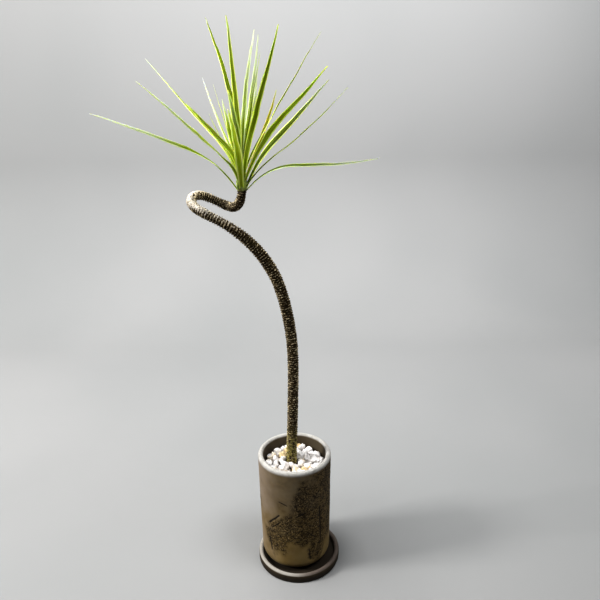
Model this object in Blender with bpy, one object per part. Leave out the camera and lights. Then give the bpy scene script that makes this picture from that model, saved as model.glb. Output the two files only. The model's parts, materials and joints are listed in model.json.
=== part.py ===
"""Potted dracaena with a trained, bent trunk, in a tall stoneware pot on a saucer.

Metres, +Z up. The origin is the centre of the saucer's flat underside, and the
plant's front, the side that it is looked at from, faces -Y.
"""

import math
import random

import bmesh
import bpy
import numpy as np
from mathutils import Vector

# Driving dimensions

# The gap between parts that touch in the real thing.
CLEARANCE = 0.0003
# Flats round each turned part.
TURN_STEPS = 48

SAUCER_RADIUS = 0.069
SAUCER_HEIGHT = 0.0155
SAUCER_WALL = 0.0075
SAUCER_FLOOR = 0.0065
SAUCER_FILLET = 0.0035
SAUCER_FOOT = 0.0015

# The pot stands a little to the left and back in its saucer.
POT_OFFSET = (-0.0046, 0.0062)
POT_HEIGHT = 0.1975
POT_RIM_RADIUS = 0.060
POT_LOW_RADIUS = 0.0575
POT_CORNER = 0.018
POT_WALL = 0.0085
POT_FLOOR = 0.009
DRAIN_RADIUS = 0.008

SOIL_LEVEL = 0.178
SOIL_UNEVEN = 0.0006
# Waves in the soil's top: (turns per metre in X, in Y, phase), in radians.
SOIL_WAVES = ((170, 0, 1.3), (0, 140, -0.6), (120, 120, 0))
SOIL_SIDES = 32
SOIL_RINGS = 5
# The trunk stands in a blind hole in the soil that ends just below it.
HOLE_DEPTH_END = 0.0945

# The trunk's middle line, from its buried end to the neck under the leaves.
TRUNK_ROUTE = (
    (-0.0100, 0.0100, 0.095),
    (-0.0100, 0.0100, 0.135),
    (-0.0100, 0.0098, 0.180),
    (-0.0080, 0.0075, 0.230),
    (-0.0055, 0.0045, 0.290),
    (-0.0038, 0.0015, 0.350),
    (-0.0047, -0.0025, 0.405),
    (-0.0120, -0.0080, 0.462),
    (-0.0280, -0.0160, 0.519),
    (-0.0530, -0.0250, 0.561),
    (-0.0880, -0.0310, 0.594),
    (-0.1210, -0.0240, 0.6110),
    (-0.1390, -0.0040, 0.6180),
    (-0.1440, 0.0200, 0.6235),
    (-0.1360, 0.0430, 0.6235),
    (-0.1150, 0.0520, 0.6135),
    (-0.0950, 0.0430, 0.6065),
    (-0.0810, 0.0240, 0.6110),
    (-0.0727, 0.0110, 0.6250),
    (-0.0705, 0.0080, 0.6360),
)
# Half the trunk's thickness along the route, as (share of length, radius).
TRUNK_RADII = (
    (0.00, 0.0080),
    (0.105, 0.0088),
    (0.16, 0.0081),
    (0.45, 0.0080),
    (0.60, 0.0084),
    (0.66, 0.0078),
    (0.73, 0.0065),
    (0.86, 0.0063),
    (0.94, 0.0066),
    (1.00, 0.0060),
)
TRUNK_SIDES = 12
# Old leaf scars stand out as rings: their spacing, and how far a lip stands out.
SCAR_PITCH = 0.0075
SCAR_LIP = 0.0004

# The growing tip that carries the leaves: (height above the neck, radius).
TIP_PROFILE = (
    (0.000, 0.0056),
    (0.010, 0.0050),
    (0.022, 0.0038),
    (0.034, 0.0026),
    (0.048, 0.0019),
    (0.090, 0.0014),
    (0.125, 0.0006),
)
TIP_SIDES = 10

LEAF_THICKNESS = 0.00075
LEAF_STEPS = 14
# Width along a blade: its foot's share of the full width, where it reaches the full
# width, where it starts to narrow, and how suddenly.
LEAF_FOOT_WIDTH = 0.52
LEAF_FULL_FROM = 0.30
LEAF_TAPER_FROM = 0.35
LEAF_TAPER_POWER = 1.45
LEAF_TIP_WIDTH = 0.0011
# How far a blade's edges rise above its middle, as a share of its half width.
LEAF_CHANNEL = 0.24
# One row for each leaf: turn about the stem in degrees, from +X towards +Y, the
# lean of its straight outer part from upright, droop of its end in degrees, its
# length, greatest width and height of its foot on the tip in millimetres, its lean
# at the foot in degrees, and the share of its length by which it has its full lean.
LEAVES = (
    (-144, 64, 7, 230, 9.0, 1, 34, 0.51),
    (-118, 56, 3, 238, 9.0, 11, 19, 0.25),
    (147, 50, -1, 233, 8.5, 13, 12, 0.34),
    (-106, 61, 2, 195, 10.0, 15, 9, 0.37),
    (115, 57, -11, 210, 7.5, 8, 17, 0.37),
    (-90, 49, 14, 170, 8.0, 22, 8, 0.53),
    (114, 34, 19, 244, 9.2, 32, 4, 0.66),
    (-88, 41, 21, 251, 8.0, 28, 3, 0.61),
    (80, 33, 7, 218, 7.5, 26, 7, 0.60),
    (80, 40, -8, 229, 7.5, 20, 22, 0.32),
    (81, 52, -24, 200, 7.0, 12, 22, 0.26),
    (-50, 28, -1, 211, 9.5, 18, 13, 0.47),
    (60, 43, -14, 155, 7.0, 7, 26, 0.20),
    (36, 37, 3, 231, 8.0, 23, 25, 0.31),
    (-32, 51, -4, 201, 10.0, 13, 26, 0.69),
    (39, 54, -2, 213, 9.5, 2, 29, 0.48),
    (-25, 57, -13, 203, 7.5, 5, 37, 0.42),
    (14, 98, -17, 209, 8.5, 0, 44, 0.52),
    (-88, 62, 15, 235, 11.0, 4, 29, 0.60),
    (-162, 24, 0, 92, 6.5, 21, 18, 0.36),
    (76, 44, 0, 180, 7.5, 17, 22, 0.36),
    (104, 58, 0, 196, 9.0, 2, 29, 0.36),
    (175, 15, 0, 118, 7.5, 27, 8, 0.36),
    (262, 12, 0, 150, 7.0, 41, 6, 0.36),
    (30, 14, 0, 148, 7.0, 36, 7, 0.36),
)

# Stones: an outer ring by the wall, a ring close round the trunk, and a few between
# them, given as (turn from the side away from the trunk, reach, radius).
WALL_STONES = (14, 0.0424, 0.0086)
TRUNK_STONES = (6, 0.0172, 0.0074)
BETWEEN_STONES = (
    (-75, 0.0285, 0.0052),
    (-38, 0.0262, 0.0070),
    (0, 0.0256, 0.0080),
    (38, 0.0262, 0.0070),
    (75, 0.0285, 0.0052),
)
# Shape of a crushed stone: corners before the hull, and ranges for its height and
# its second width as shares of the first, for each corner's reach, and for the turn
# by which a corner strays.
STONE_CORNERS = 15
STONE_FLATNESS = (0.62, 0.85)
STONE_SLIMNESS = (0.80, 1.0)
STONE_REACH = (0.84, 1.0)
STONE_STRAY = 0.35
# Extra height over the soil, so that a stone's corners clear its slopes.
STONE_LIFT = 0.0005
STONE_SEED = 11
# Every sixth stone is ochre and every eleventh grey, counted from these numbers.
OCHRE_STONES = (6, 5)
GREY_STONES = (11, 8)


# Materials


def material(name, colour, roughness=0.8, metallic=0.0):
    """A plain Principled finish."""
    made = bpy.data.materials.new(name)
    made.use_nodes = True
    shader = made.node_tree.nodes["Principled BSDF"]
    shader.inputs["Base Color"].default_value = (*colour, 1.0)
    shader.inputs["Roughness"].default_value = roughness
    shader.inputs["Metallic"].default_value = metallic
    return made


# Mesh helpers


def place(name, mesh, finish):
    """Puts a mesh into the scene as a named object, shaded smooth."""
    mesh.materials.append(finish)
    mesh.shade_smooth()
    mesh.set_sharp_from_angle(angle=math.radians(50))
    made = bpy.data.objects.new(name, mesh)
    bpy.context.scene.collection.objects.link(made)
    return made


def turned(name, profile, centre, finish):
    """Turns an (radius, height) outline about an upright axis with a Screw."""
    mesh = bpy.data.meshes.new(name)
    points = [(r, 0, z) for r, z in profile]
    closed = profile[0][0] > 0 and profile[-1][0] > 0
    edges = [(i, i + 1) for i in range(len(points) - 1)]
    if closed:
        edges.append((len(points) - 1, 0))
    mesh.from_pydata(points, edges, [])
    made = place(name, mesh, finish)
    made.location = (centre[0], centre[1], 0)
    screw = made.modifiers.new("Turn", "SCREW")
    screw.steps = screw.render_steps = TURN_STEPS
    screw.use_merge_vertices = True
    screw.merge_threshold = 0.00001
    screw.use_smooth_shade = True
    return made


def arc(centre, radius, start, end, steps):
    """Points of a round stretch in an outline; angles in degrees from +r."""
    angles = np.radians(np.linspace(start, end, steps + 1))
    return [
        (centre[0] + radius * math.cos(a), centre[1] + radius * math.sin(a))
        for a in angles
    ]


def lofted(name, sections, finish):
    """Closes a solid over sections that all have the same number of points."""
    shape = bmesh.new()
    rings = [[shape.verts.new(point) for point in section] for section in sections]
    count = len(rings[0])
    for low, high in zip(rings, rings[1:]):
        for i in range(count):
            j = (i + 1) % count
            shape.faces.new((low[i], low[j], high[j], high[i]))
    shape.faces.new(reversed(rings[0]))
    shape.faces.new(rings[-1])
    mesh = bpy.data.meshes.new(name)
    shape.to_mesh(mesh)
    shape.free()
    return place(name, mesh, finish)


# Saucer and pot


def build_saucer(finish):
    """A shallow dish with a rounded rim and a flat underside."""
    r, h, lip = SAUCER_RADIUS, SAUCER_HEIGHT, SAUCER_WALL / 2
    corner = (r - SAUCER_WALL - SAUCER_FILLET, SAUCER_FLOOR + SAUCER_FILLET)
    profile = [(0, SAUCER_FLOOR)]
    profile += arc(corner, SAUCER_FILLET, -90, 0, 3)
    profile += arc((r - lip, h - lip), lip, 180, 0, 6)
    profile += arc((r - SAUCER_FOOT, SAUCER_FOOT), SAUCER_FOOT, 0, -90, 4)
    profile += [(0, 0)]
    return turned("saucer", profile, (0, 0), finish)


def build_pot(finish):
    """A tall hollow pot: rounded rim and bottom edge, and a drainage hole."""
    base = SAUCER_FLOOR + CLEARANCE
    top = base + POT_HEIGHT
    lip = POT_WALL / 2
    inner_top = POT_RIM_RADIUS - POT_WALL
    inner_low = POT_LOW_RADIUS - POT_WALL
    floor = base + POT_FLOOR
    inner_corner = POT_CORNER - POT_WALL
    low_middle = (POT_LOW_RADIUS - POT_CORNER, base + POT_CORNER)
    profile = [(DRAIN_RADIUS, floor)]
    profile += arc((inner_low - inner_corner, floor + inner_corner), inner_corner, -90, 0, 3)
    profile += arc((inner_top + lip, top - lip), lip, 180, 0, 6)
    profile += arc(low_middle, POT_CORNER, 0, -90, 5)
    profile += [(DRAIN_RADIUS, base)]
    return turned("pot", profile, POT_OFFSET, finish)


def inner_radius(z):
    """The pot's inner radius at a height."""
    low = SAUCER_FLOOR + CLEARANCE + POT_CORNER
    top = SAUCER_FLOOR + CLEARANCE + POT_HEIGHT
    share = min(1, max(0, (z - low) / (top - low)))
    return POT_LOW_RADIUS + (POT_RIM_RADIUS - POT_LOW_RADIUS) * share - POT_WALL


# Soil


def soil_height(x, y):
    """The soil's slightly uneven top."""
    wave = sum(math.sin(a * x + b * y + phase) for a, b, phase in SOIL_WAVES)
    return SOIL_LEVEL + SOIL_UNEVEN * wave


def build_soil(finish):
    """Fills the pot, with a plain blind hole where the trunk stands."""
    px, py = POT_OFFSET
    tx, ty = TRUNK_ROUTE[0][:2]
    bottom = SAUCER_FLOOR + CLEARANCE + POT_FLOOR + CLEARANCE
    hole = max(radius for _, radius in TRUNK_RADII) + SCAR_LIP + CLEARANCE * 1.5
    # The turned wall is a polygon, and so is this one: it stays inside its flats.
    flat = math.cos(math.pi / TURN_STEPS)

    def circle(radius, cx, cy):
        for i in range(SOIL_SIDES):
            a = 2 * math.pi * i / SOIL_SIDES
            yield cx + radius * math.cos(a), cy + radius * math.sin(a)

    def level_ring(radius, z):
        return [(x, y, z) for x, y in circle(radius, px, py)]

    inner = list(circle(hole / math.cos(math.pi / SOIL_SIDES), tx, ty))
    outer = list(circle(inner_radius(SOIL_LEVEL) * flat - CLEARANCE, px, py))
    corner = POT_CORNER - POT_WALL
    low_radius = inner_radius(0) * flat - CLEARANCE
    sections = [
        level_ring(low_radius - corner, bottom),
        level_ring(low_radius - corner * 0.35, bottom + corner * 0.35),
        level_ring(low_radius, bottom + corner * 1.2),
    ]
    for k in range(SOIL_RINGS, -1, -1):
        share = k / SOIL_RINGS
        ring = []
        for (ix, iy), (ox, oy) in zip(inner, outer):
            x, y = ix + (ox - ix) * share, iy + (oy - iy) * share
            ring.append((x, y, soil_height(x, y)))
        sections.append(ring)
    sections.append([(x, y, HOLE_DEPTH_END) for x, y in inner])
    return lofted("potting_soil", sections, finish)


# Trunk


def smooth_route(points, count):
    """Evenly spaced points on a natural cubic spline through the given ones."""
    points = np.array(points)
    spans = np.linalg.norm(np.diff(points, axis=0), axis=1)
    knots = np.concatenate([[0], np.cumsum(spans)])
    size = len(points)
    matrix = np.zeros((size, size))
    right = np.zeros((size, 3))
    matrix[0, 0] = matrix[-1, -1] = 1
    for i in range(1, size - 1):
        before, after = spans[i - 1], spans[i]
        matrix[i, i - 1 : i + 2] = before, 2 * (before + after), after
        slopes = np.diff(points[i - 1 : i + 2], axis=0) / ((before,), (after,))
        right[i] = 6 * (slopes[1] - slopes[0])
    bend = np.linalg.solve(matrix, right)

    def at(t):
        i = min(np.searchsorted(knots, t, side="right") - 1, size - 2)
        h = spans[i]
        a, b = (knots[i + 1] - t) / h, (t - knots[i]) / h
        straight = a * points[i] + b * points[i + 1]
        return straight + ((a**3 - a) * bend[i] + (b**3 - b) * bend[i + 1]) * h * h / 6

    fine = np.array([at(t) for t in np.linspace(0, knots[-1], 1200)])
    lengths = np.concatenate([[0], np.cumsum(np.linalg.norm(np.diff(fine, axis=0), axis=1))])
    wanted = np.linspace(0, lengths[-1], count)
    even = np.stack([np.interp(wanted, lengths, fine[:, k]) for k in range(3)], axis=1)
    return even, lengths[-1]


def carried_frames(route):
    """Two directions across the route at each point, carried along without a twist."""
    tangents = np.gradient(route, axis=0)
    tangents /= np.linalg.norm(tangents, axis=1)[:, None]
    side = np.array([1.0, 0.0, 0.0])
    frames = []
    for tangent in tangents:
        side = side - tangent * side.dot(tangent)
        side /= np.linalg.norm(side)
        frames.append((side, np.cross(tangent, side)))
    return frames


def build_trunk(finish):
    """A bent stem whose old leaf scars stand out as low, sharp-lipped rings."""
    even, length = smooth_route(TRUNK_ROUTE, 400)
    rings = round(length / SCAR_PITCH)
    shares, radii = [0.0], [TRUNK_RADII[0][1]]
    known = np.array(TRUNK_RADII)
    for k in range(rings):
        for share, lip in (((k + 0.04) / rings, SCAR_LIP), ((k + 0.96) / rings, -SCAR_LIP / 2)):
            shares.append(share)
            radii.append(np.interp(share, known[:, 0], known[:, 1]) + lip)
    # The last ring makes way for the neck's level end.
    del shares[-1], radii[-1]
    shares.append(1.0)
    radii.append(known[-1, 1])
    at = np.linspace(0, 1, len(even))
    route = np.stack([np.interp(shares, at, even[:, k]) for k in range(3)], axis=1)
    dense = carried_frames(even)
    sections = []
    for point, share, radius in zip(route, shares, radii):
        side, other = dense[min(len(dense) - 1, round(share * (len(dense) - 1)))]
        turns = 2 * np.pi * np.arange(TRUNK_SIDES) / TRUNK_SIDES
        sections.append(
            [point + radius * (math.cos(a) * side + math.sin(a) * other) for a in turns]
        )
    # The neck ends level, so that the growing tip stands squarely on it.
    top = TRUNK_ROUTE[-1][2]
    sections[-1] = [Vector((x, y, top)) for x, y, _ in sections[-1]]
    return lofted("trunk", sections, finish)


# Growing tip and leaves


def neck():
    """The middle of the trunk's upper end, where the growing tip stands."""
    x, y, z = TRUNK_ROUTE[-1]
    return Vector((x, y, z + CLEARANCE))


def tip_radius(height):
    heights, radii = zip(*TIP_PROFILE)
    return float(np.interp(height, heights, radii))


def build_growing_tip(finish):
    foot = neck()
    sections = []
    for height, radius in TIP_PROFILE:
        ring = []
        for i in range(TIP_SIDES):
            a = 2 * math.pi * i / TIP_SIDES
            ring.append(foot + Vector((radius * math.cos(a), radius * math.sin(a), height)))
        sections.append(ring)
    return lofted("growing_tip", sections, finish)


def blade_width(share, width):
    """The blade's width: a narrow foot, a long middle, and a fine point."""
    rise = math.sin(min(1, share / LEAF_FULL_FROM) * math.pi / 2)
    foot = LEAF_FOOT_WIDTH + (1 - LEAF_FOOT_WIDTH) * rise
    point = 1 - max(0, (share - LEAF_TAPER_FROM) / (1 - LEAF_TAPER_FROM)) ** LEAF_TAPER_POWER
    return LEAF_TIP_WIDTH + (width - LEAF_TIP_WIDTH) * foot * point


def build_leaf(name, turn, lean, droop, length, width, height, first_lean, bend, finish):
    """A stiff strap with a shallow V section, bent out near its foot."""
    length, width, height = length / 1000, width / 1000, height / 1000
    turn, lean, droop, first_lean = (math.radians(a) for a in (turn, lean, droop, first_lean))
    outward = Vector((math.cos(turn), math.sin(turn), 0))
    across = Vector((-math.sin(turn), math.cos(turn), 0))
    reach = tip_radius(height) + CLEARANCE
    along = neck() + outward * reach + Vector((0, 0, height))
    shape = bmesh.new()
    rows = []
    for k in range(LEAF_STEPS + 1):
        share = k / LEAF_STEPS
        ease = min(1, share / bend)
        ease = ease * ease * (3 - 2 * ease)
        angle = first_lean + (lean - first_lean) * ease + droop * share**2
        if k:
            step = length / LEAF_STEPS
            along = along + (outward * math.sin(angle) + Vector((0, 0, math.cos(angle)))) * step
        # The upper face looks at the stem's axis; the blade's middle lies lowest.
        up = Vector((0, 0, math.sin(angle))) - outward * math.cos(angle)
        half = blade_width(share, width) / 2
        edge = up * LEAF_CHANNEL * half
        face = [along - across * half + edge, along, along + across * half + edge]
        face += [point - up * LEAF_THICKNESS for point in face]
        rows.append([shape.verts.new(point) for point in face])
    for low, high in zip(rows, rows[1:]):
        for j in (0, 1):
            # Both faces are split along the same diagonal, so they stay parallel.
            shape.faces.new((low[j], low[j + 1], high[j + 1]))
            shape.faces.new((low[j], high[j + 1], high[j]))
            shape.faces.new((low[j + 3], high[j + 4], low[j + 4]))
            shape.faces.new((low[j + 3], high[j + 3], high[j + 4]))
        shape.faces.new((low[3], low[0], high[0], high[3]))
        shape.faces.new((low[2], low[5], high[5], high[2]))
    for row in (rows[0], rows[-1]):
        for j in (0, 1):
            shape.faces.new((row[j], row[j + 3], row[j + 4], row[j + 1]))
    bmesh.ops.recalc_face_normals(shape, faces=shape.faces)
    mesh = bpy.data.meshes.new(name)
    shape.to_mesh(mesh)
    shape.free()
    return place(name, mesh, finish)


# Stones


def build_stone(name, x, y, radius, rng, finish):
    """A crushed stone: the hull of a few points on a lopsided ellipsoid."""
    flat = rng.uniform(*STONE_FLATNESS)
    slim = rng.uniform(*STONE_SLIMNESS)
    spin = rng.uniform(0, math.pi)
    shape = bmesh.new()
    points = []
    for i in range(STONE_CORNERS):
        # Evenly spread directions on a sphere, each then turned a little.
        up = 1 - 2 * (i + 0.5) / STONE_CORNERS
        turn = i * math.pi * (3 - math.sqrt(5)) + rng.uniform(-STONE_STRAY, STONE_STRAY)
        flank = math.sqrt(max(0, 1 - up * up))
        reach = rng.uniform(*STONE_REACH)
        a = radius * reach * flank * math.cos(turn)
        b = radius * reach * flank * math.sin(turn) * slim
        east = a * math.cos(spin) - b * math.sin(spin)
        north = a * math.sin(spin) + b * math.cos(spin)
        points.append(Vector((east, north, radius * reach * up * flat)))
    lowest = min(p.z + SOIL_LEVEL - soil_height(x + p.x, y + p.y) for p in points)
    rise = SOIL_LEVEL + STONE_LIFT - lowest
    for p in points:
        shape.verts.new((x + p.x, y + p.y, p.z + rise))
    hull = bmesh.ops.convex_hull(shape, input=shape.verts)
    spare = [v for v in hull["geom_interior"] if isinstance(v, bmesh.types.BMVert)]
    bmesh.ops.delete(shape, geom=spare, context="VERTS")
    bmesh.ops.recalc_face_normals(shape, faces=shape.faces)
    mesh = bpy.data.meshes.new(name)
    shape.to_mesh(mesh)
    shape.free()
    made = place(name, mesh, finish)
    mesh.set_sharp_from_angle(angle=math.radians(20))
    return made


def stone_places():
    """Middles and radii of the places for stones, in metres."""
    px, py = POT_OFFSET
    tx, ty = TRUNK_ROUTE[0][:2]
    away = math.atan2(py - ty, px - tx)
    for cx, cy, (count, reach, radius) in ((px, py, WALL_STONES), (tx, ty, TRUNK_STONES)):
        for i in range(count):
            a = away + 2 * math.pi * (i + 0.5) / count
            yield cx + reach * math.cos(a), cy + reach * math.sin(a), radius
    for turn, reach, radius in BETWEEN_STONES:
        a = away + math.radians(turn)
        yield px + reach * math.cos(a), py + reach * math.sin(a), radius


def main():
    for old in list(bpy.data.objects):
        bpy.data.objects.remove(old, do_unlink=True)

    stoneware = material("stoneware", (0.16, 0.125, 0.085), 0.75)
    soil = material("soil", (0.05, 0.035, 0.022), 0.95)
    bark = material("bark", (0.11, 0.085, 0.055), 0.8)
    green = material("leaf_green", (0.25, 0.42, 0.05), 0.45)
    white = material("white_stone", (0.80, 0.77, 0.72), 0.8)
    ochre = material("ochre_stone", (0.62, 0.34, 0.12), 0.8)
    grey = material("grey_stone", (0.26, 0.28, 0.29), 0.8)

    build_saucer(stoneware)
    build_pot(stoneware)
    build_soil(soil)
    build_trunk(bark)
    build_growing_tip(green)
    for number, row in enumerate(LEAVES, 1):
        build_leaf(f"leaf_{number:02d}", *row, green)

    rng = random.Random(STONE_SEED)
    for number, (x, y, radius) in enumerate(stone_places(), 1):
        finish = white
        if number % OCHRE_STONES[0] == OCHRE_STONES[1]:
            finish = ochre
        elif number % GREY_STONES[0] == GREY_STONES[1]:
            finish = grey
        build_stone(f"stone_{number:02d}", x, y, radius - CLEARANCE / 2, rng, finish)


main()
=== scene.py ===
import json
from math import cos, hypot, pi, radians, sin

import bmesh
import bpy
import numpy as np
from mathutils import Matrix, Vector


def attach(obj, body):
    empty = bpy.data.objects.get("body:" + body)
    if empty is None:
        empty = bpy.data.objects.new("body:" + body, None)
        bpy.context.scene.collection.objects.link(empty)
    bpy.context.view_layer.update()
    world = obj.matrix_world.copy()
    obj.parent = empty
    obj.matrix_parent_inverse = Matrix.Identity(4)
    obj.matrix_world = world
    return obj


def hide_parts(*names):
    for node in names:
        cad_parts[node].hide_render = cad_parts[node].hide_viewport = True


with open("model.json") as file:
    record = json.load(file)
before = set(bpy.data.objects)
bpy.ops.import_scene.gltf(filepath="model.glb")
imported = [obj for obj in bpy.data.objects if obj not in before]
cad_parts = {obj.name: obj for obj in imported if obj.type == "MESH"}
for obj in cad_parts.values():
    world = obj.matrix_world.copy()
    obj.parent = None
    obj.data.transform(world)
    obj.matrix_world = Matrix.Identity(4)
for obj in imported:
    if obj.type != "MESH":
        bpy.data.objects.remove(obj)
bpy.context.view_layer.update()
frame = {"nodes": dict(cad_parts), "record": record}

# Everything is in metres, +Z up, and the plant's front faces -Y.
# The helpers come first, then one block for each piece.


# Nodes

class Wire:
    # One output of a node. A sum written with it adds the Math nodes that it needs.
    def __init__(self, graph, socket):
        self.graph = graph
        self.socket = socket

    def maths(self, operation, *others):
        return self.graph.node("ShaderNodeMath", dict(enumerate((self, *others))), operation=operation)

    def vectors(self, operation, sockets):
        return self.graph.node("ShaderNodeVectorMath", {0: self, **sockets}, operation=operation)

    def __rsub__(self, other):
        return self.graph.node("ShaderNodeMath", {0: other, 1: self}, operation="SUBTRACT")

    def __neg__(self):
        return self * -1

    def ease(self, low, high):
        # 0 where the value is low, 1 where it is high, and a smooth step between
        sockets = {"Value": self, "From Min": low, "From Max": high}
        return self.graph.node("ShaderNodeMapRange", sockets, interpolation_type="SMOOTHSTEP")

    def stretched(self, x, y, z):
        # a place, scaled along each axis
        return self.vectors("MULTIPLY", {1: (x, y, z)})

    def times(self, amount):
        # a direction, made longer or shorter by a number or by a wire
        return self.vectors("SCALE", {"Scale": amount})

    def plus(self, other):
        return self.vectors("ADD", {1: other})

    def parts(self):
        split = self.graph.node("ShaderNodeSeparateXYZ", {0: self}).socket.node
        return [Wire(self.graph, output) for output in split.outputs]


# the kind of Math node behind each operator and method of a Wire
operations = {
    "__add__": "ADD", "__radd__": "ADD", "__sub__": "SUBTRACT", "__mul__": "MULTIPLY",
    "__truediv__": "DIVIDE", "__pow__": "POWER", "__abs__": "ABSOLUTE",
    "least": "MINIMUM", "most": "MAXIMUM", "fraction": "FRACT",
}
for method, operation in operations.items():
    setattr(Wire, method, lambda wire, *others, operation=operation: wire.maths(operation, *others))


def greatest(wires):
    top = wires[0]
    for wire in wires[1:]:
        top = top.most(wire)
    return top


class Graph:
    # The nodes of one material or of one Geometry Nodes tree.
    def __init__(self, tree):
        self.tree = tree
        self.grows = tree.bl_idname == "GeometryNodeTree"
        self.shared = {}

    def node(self, kind, sockets=None, result=0, **settings):
        # A socket takes a wire, a list of wires that it joins, or a value.
        made = self.tree.nodes.new(kind)
        for name, value in settings.items():
            setattr(made, name, value)
        for key, value in (sockets or {}).items():
            socket = made.inputs[key]
            if isinstance(value, Wire):
                self.tree.links.new(value.socket, socket)
            elif isinstance(value, list):
                for wire in value:
                    self.tree.links.new(wire.socket, socket)
            elif socket.type == "RGBA" and len(value) == 3:
                socket.default_value = (*value, 1.0)
            else:
                socket.default_value = value
        return Wire(self, made.outputs[result])

    def place(self):
        # where the surface is, in the part's own frame
        if "place" not in self.shared:
            if self.grows:
                wire = self.node("GeometryNodeInputPosition")
            else:
                wire = self.node("ShaderNodeTexCoord", result="Object")
            self.shared["place"] = wire
        return self.shared["place"]

    def fromAxis(self, centre=(0.0, 0.0)):
        # how far the surface is from an upright axis
        x, y = self.place().parts()[:2]
        return ((x - centre[0]) ** 2 + (y - centre[1]) ** 2) ** 0.5

    def stored(self, name):
        # a number that the piece's mesh carries
        if name not in self.shared:
            if self.grows:
                wire = self.node("GeometryNodeInputNamedAttribute", {"Name": name}, data_type="FLOAT")
            else:
                wire = self.node("ShaderNodeAttribute", result="Fac", attribute_name=name)
            self.shared[name] = wire
        return self.shared[name]

    def noise(self, place, scale, detail=2.0, roughness=0.5):
        sockets = {"Vector": place, "Scale": scale, "Detail": detail, "Roughness": roughness}
        return self.node("ShaderNodeTexNoise", sockets)

    def uneven(self, place, scale, detail, amount):
        # noise that goes both ways from nought
        return (self.noise(place, scale, detail) - 0.5) * amount

    def cells(self, place, scale, feature="F1"):
        sockets = {"Vector": place, "Scale": scale}
        return self.node("ShaderNodeTexVoronoi", sockets, "Distance", feature=feature)

    def point(self, x=0.0, y=0.0, z=0.0):
        return self.node("ShaderNodeCombineXYZ", {0: x, 1: y, 2: z})

    def mix(self, factor, under, over):
        return self.node("ShaderNodeMix", {0: factor, 6: under, 7: over}, 2, data_type="RGBA")

    def layered(self, colour, *layers):
        # Each layer is (mask, colour), and the last one lies on top.
        for mask, tone in layers:
            colour = self.mix(mask, colour, tone)
        return colour

    def ramp(self, factor, places, tones):
        # The tones stand at the places, with blends between them.
        made = self.node("ShaderNodeValToRGB", {0: factor})
        stops = made.socket.node.color_ramp.elements
        while len(stops) < len(places):
            stops.new(0.5)
        for stop, place, tone in zip(stops, places, tones):
            stop.position = place
            stop.color = (*tone, 1.0)
        return made

    def look(self, colour, height, strength, distance, **others):
        # What a paint returns: a colour, a fine relief, and any other varying input.
        sockets = {"Strength": strength, "Distance": distance, "Height": height}
        return {"Base Color": colour, "Normal": self.node("ShaderNodeBump", sockets, "Normal"), **others}

    def store(self, shape, name, value, domain="POINT"):
        sockets = {"Geometry": shape, "Name": name, "Value": value}
        return self.node("GeometryNodeStoreNamedAttribute", sockets, data_type="FLOAT", domain=domain)

    def moved(self, shape, offset):
        return self.node("GeometryNodeSetPosition", {"Geometry": shape, "Offset": offset})

    def movedTo(self, shape, place):
        return self.node("GeometryNodeSetPosition", {"Geometry": shape, "Position": place})

    def resampled(self, curve, step):
        return self.node("GeometryNodeResampleCurve", {"Curve": curve, "Length": step}, mode="LENGTH")

    def circle(self, sides):
        return self.node("GeometryNodeCurvePrimitiveCircle", {"Resolution": sides, "Radius": 1.0})

    def swept(self, path, section):
        # Carries a section along a path, as large as the path's own radius, and closes both ends.
        sockets = {"Curve": path, "Profile Curve": section, "Scale": self.node("GeometryNodeInputRadius"),
                   "Fill Caps": True}
        return self.node("GeometryNodeCurveToMesh", sockets)

    def raised(self, shape, height):
        # Lifts the surface along its normal.
        return self.moved(shape, self.node("GeometryNodeInputNormal").times(height))


def finish(name, paint, roughness=0.6, **fixed):
    # A material whose paint(graph) gives what varies over the surface, as {socket: wire}.
    made = bpy.data.materials.new(name)
    made.use_nodes = True
    shader = made.node_tree.nodes["Principled BSDF"]
    graph = Graph(made.node_tree)
    shader.inputs["Roughness"].default_value = roughness
    for key, value in fixed.items():
        shader.inputs[key.replace("_", " ")].default_value = value
    for key, wire in paint(graph).items():
        graph.tree.links.new(wire.socket, shader.inputs[key])
    return made


# Geometry Nodes trees and objects

socketKinds = {float: "Float", int: "Int"}


def growthTree(name, sizes, build):
    # A tree with a named input for each size; build(graph, geometry, given) returns the geometry.
    tree = bpy.data.node_groups.new(name, "GeometryNodeTree")

    def opened(label, kind, way="INPUT"):
        return tree.interface.new_socket(label, in_out=way, socket_type="NodeSocket" + kind)

    opened("Geometry", "Geometry")
    for label, value in sizes.items():
        opened(label, socketKinds[type(value)]).default_value = value
    opened("Finish", "Material")
    opened("Geometry", "Geometry", "OUTPUT")
    graph = Graph(tree)
    entry = tree.nodes.new("NodeGroupInput")
    given = {socket.name: Wire(graph, socket) for socket in entry.outputs if socket.name}
    shape = build(graph, given["Geometry"], given)
    shape = graph.node("GeometryNodeRealizeInstances", {"Geometry": shape})
    shape = graph.node("GeometryNodeSetShadeSmooth", {"Geometry": shape, "Shade Smooth": True})
    shape = graph.node("GeometryNodeSetMaterial", {"Geometry": shape, "Material": given["Finish"]})
    leave = tree.nodes.new("NodeGroupOutput")
    tree.links.new(shape.socket, leave.inputs[0])
    return tree


def added(name, data):
    made = bpy.data.objects.new(name, data)
    bpy.context.scene.collection.objects.link(made)
    return made


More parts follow.
